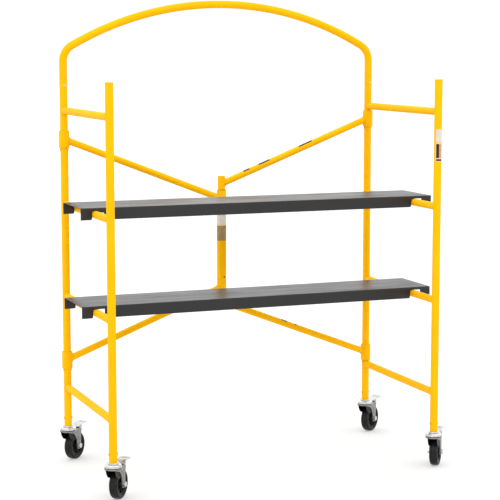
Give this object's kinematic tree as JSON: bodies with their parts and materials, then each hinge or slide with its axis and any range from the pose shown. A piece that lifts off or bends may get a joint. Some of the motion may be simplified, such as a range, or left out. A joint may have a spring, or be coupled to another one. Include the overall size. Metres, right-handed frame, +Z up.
{
  "type": "rolling scaffold section",
  "caption": "Rolling folding scaffold section: two end frames, folding back brace, lift-off decks, bent guardrail and braked swivel casters.",
  "frame": {"origin": "on the floor under the middle of the bounding box", "axes": "+X along the decks from the left to the right end frame, +Y from the front posts to the back posts, +Z up"},
  "size_m": [1.4632, 0.7506, 1.8144],
  "materials": {
    "yellow_paint": "gloss powder coat",
    "deck_grey": "satin powder coat",
    "zinc": "bright zinc plate",
    "tyre_rubber": "matt rubber",
    "hub_plastic": "moulded"
  },
  "bodies": {
    "left_frame": {"post_front_left": "yellow_paint", "post_back_left": "yellow_paint", "rung_left_top": "yellow_paint", "rung_left_upper": "yellow_paint", "rung_left_lower": "yellow_paint", "rung_left_bottom": "yellow_paint", "rivets_left": "zinc", "caster_stem_front_left": "zinc", "caster_stem_back_left": "zinc", "swivel_balls_left": "zinc"},
    "brace_left": {"brace_sleeve": "yellow_paint", "brace_left_upper": "yellow_paint", "brace_left_lower": "yellow_paint", "collar_left_upper": "yellow_paint", "collar_left_lower": "yellow_paint"},
    "brace_right": {"brace_hinge_tube": "yellow_paint", "brace_right_upper": "yellow_paint", "brace_right_lower": "yellow_paint", "collar_right_upper": "yellow_paint", "collar_right_lower": "yellow_paint", "hinge_rings": "zinc"},
    "right_frame": {"post_front_right": "yellow_paint", "post_back_right": "yellow_paint", "rung_right_top": "yellow_paint", "rung_right_upper": "yellow_paint", "rung_right_lower": "yellow_paint", "rung_right_bottom": "yellow_paint", "rivets_right": "zinc", "caster_stem_front_right": "zinc", "caster_stem_back_right": "zinc", "swivel_balls_right": "zinc"},
    "upper_deck": {"deck_upper": "deck_grey"},
    "lower_deck": {"deck_lower": "deck_grey"},
    "rail": {"guardrail": "yellow_paint", "guardrail_spigots": "zinc", "snap_springs": "zinc"},
    "button_left": {"snap_button_left": "zinc"},
    "button_right": {"snap_button_right": "zinc"},
    "caster_front_left": {"caster_fork_front_left": "zinc", "caster_pins_front_left": "zinc"},
    "wheel_front_left": {"caster_tyre_front_left": "tyre_rubber", "caster_hub_front_left": "hub_plastic"},
    "pedal_front_left": {"brake_pedal_front_left": "zinc"},
    "caster_back_left": {"caster_fork_back_left": "zinc", "caster_pins_back_left": "zinc"},
    "wheel_back_left": {"caster_tyre_back_left": "tyre_rubber", "caster_hub_back_left": "hub_plastic"},
    "pedal_back_left": {"brake_pedal_back_left": "zinc"},
    "caster_front_right": {"caster_fork_front_right": "zinc", "caster_pins_front_right": "zinc"},
    "wheel_front_right": {"caster_tyre_front_right": "tyre_rubber", "caster_hub_front_right": "hub_plastic"},
    "pedal_front_right": {"brake_pedal_front_right": "zinc"},
    "caster_back_right": {"caster_fork_back_right": "zinc", "caster_pins_back_right": "zinc"},
    "wheel_back_right": {"caster_tyre_back_right": "tyre_rubber", "caster_hub_back_right": "hub_plastic"},
    "pedal_back_right": {"brake_pedal_back_right": "zinc"}
  },
  "joints": [
    {"name": "brace_fold", "type": "hinge", "parent": "left_frame", "child": "brace_left", "pos_m": [-0.67431, 0.27858, 0.755], "axis": [0, 0, 1], "range_deg": [0, 80]},
    {"name": "brace_centre", "type": "hinge", "parent": "brace_left", "child": "brace_right", "pos_m": [-0.02431, 0.27858, 0.755], "axis": [0, 0, 1], "range_deg": [-160, 0]},
    {"name": "frame_swing", "type": "hinge", "parent": "brace_right", "child": "right_frame", "pos_m": [0.62569, 0.27858, 0.755], "axis": [0, 0, 1], "range_deg": [0, 80]},
    {"name": "deck_upper_lift", "type": "slide", "parent": "left_frame", "child": "upper_deck", "axis": [-0.4029, 0, 0.9152], "range_m": [0, 0.3475]},
    {"name": "deck_lower_lift", "type": "slide", "parent": "left_frame", "child": "lower_deck", "axis": [-0.4029, 0, 0.9152], "range_m": [0, 0.3475]},
    {"name": "guardrail_lift", "type": "slide", "parent": "left_frame", "child": "rail", "axis": [0, 0, 1], "range_m": [0, 0.96]},
    {"name": "snap_button_left_press", "type": "slide", "parent": "rail", "child": "button_left", "axis": [0, 1, 0], "range_m": [0, 0.005], "stiffness_N_per_m": 400},
    {"name": "snap_button_right_press", "type": "slide", "parent": "rail", "child": "button_right", "axis": [0, 1, 0], "range_m": [0, 0.005], "stiffness_N_per_m": 400},
    {"name": "swivel_front_left", "type": "hinge", "parent": "left_frame", "child": "caster_front_left", "pos_m": [-0.67431, -0.34142, 0.126], "axis": [0, 0, 1], "continuous": true},
    {"name": "wheel_spin_front_left", "type": "hinge", "parent": "caster_front_left", "child": "wheel_front_left", "pos_m": [-0.64538, -0.30695, 0.055], "axis": [-0.766, 0.6428, 0], "continuous": true},
    {"name": "brake_press_front_left", "type": "hinge", "parent": "caster_front_left", "child": "pedal_front_left", "pos_m": [-0.63702, -0.29699, 0.127], "axis": [-0.766, 0.6428, 0], "range_deg": [0, 16]},
    {"name": "swivel_back_left", "type": "hinge", "parent": "left_frame", "child": "caster_back_left", "pos_m": [-0.67431, 0.27858, 0.126], "axis": [0, 0, 1], "continuous": true},
    {"name": "wheel_spin_back_left", "type": "hinge", "parent": "caster_back_left", "child": "wheel_back_left", "pos_m": [-0.6414, 0.30927, 0.055], "axis": [-0.682, 0.7314, 0], "continuous": true},
    {"name": "brake_press_back_left", "type": "hinge", "parent": "caster_back_left", "child": "pedal_back_left", "pos_m": [-0.63189, 0.31814, 0.127], "axis": [-0.682, 0.7314, 0], "range_deg": [0, 16]},
    {"name": "swivel_front_right", "type": "hinge", "parent": "right_frame", "child": "caster_front_right", "pos_m": [0.62569, -0.34142, 0.126], "axis": [0, 0, 1], "continuous": true},
    {"name": "wheel_spin_front_right", "type": "hinge", "parent": "caster_front_right", "child": "wheel_front_right", "pos_m": [0.6534, -0.30596, 0.055], "axis": [-0.788, 0.6157, 0], "continuous": true},
    {"name": "brake_press_front_right", "type": "hinge", "parent": "caster_front_right", "child": "pedal_front_right", "pos_m": [0.6614, -0.29571, 0.127], "axis": [-0.788, 0.6157, 0], "range_deg": [0, 16]},
    {"name": "swivel_back_right", "type": "hinge", "parent": "right_frame", "child": "caster_back_right", "pos_m": [0.62569, 0.27858, 0.126], "axis": [0, 0, 1], "continuous": true},
    {"name": "wheel_spin_back_right", "type": "hinge", "parent": "caster_back_right", "child": "wheel_back_right", "pos_m": [0.66115, 0.30629, 0.055], "axis": [-0.6157, 0.788, 0], "continuous": true},
    {"name": "brake_press_back_right", "type": "hinge", "parent": "caster_back_right", "child": "pedal_back_right", "pos_m": [0.6714, 0.31429, 0.127], "axis": [-0.6157, 0.788, 0], "range_deg": [0, 16]}
  ],
  "couplings": [
    {"joint": "brace_centre", "follows": "brace_fold", "ratio": -2},
    {"joint": "frame_swing", "follows": "brace_fold", "ratio": 1},
    {"joint": "deck_upper_lift", "follows": "brace_fold", "m_per_rad": 0.24888},
    {"joint": "deck_lower_lift", "follows": "brace_fold", "m_per_rad": 0.24888},
    {"joint": "guardrail_lift", "follows": "brace_fold", "m_per_rad": 0.68755}
  ]
}
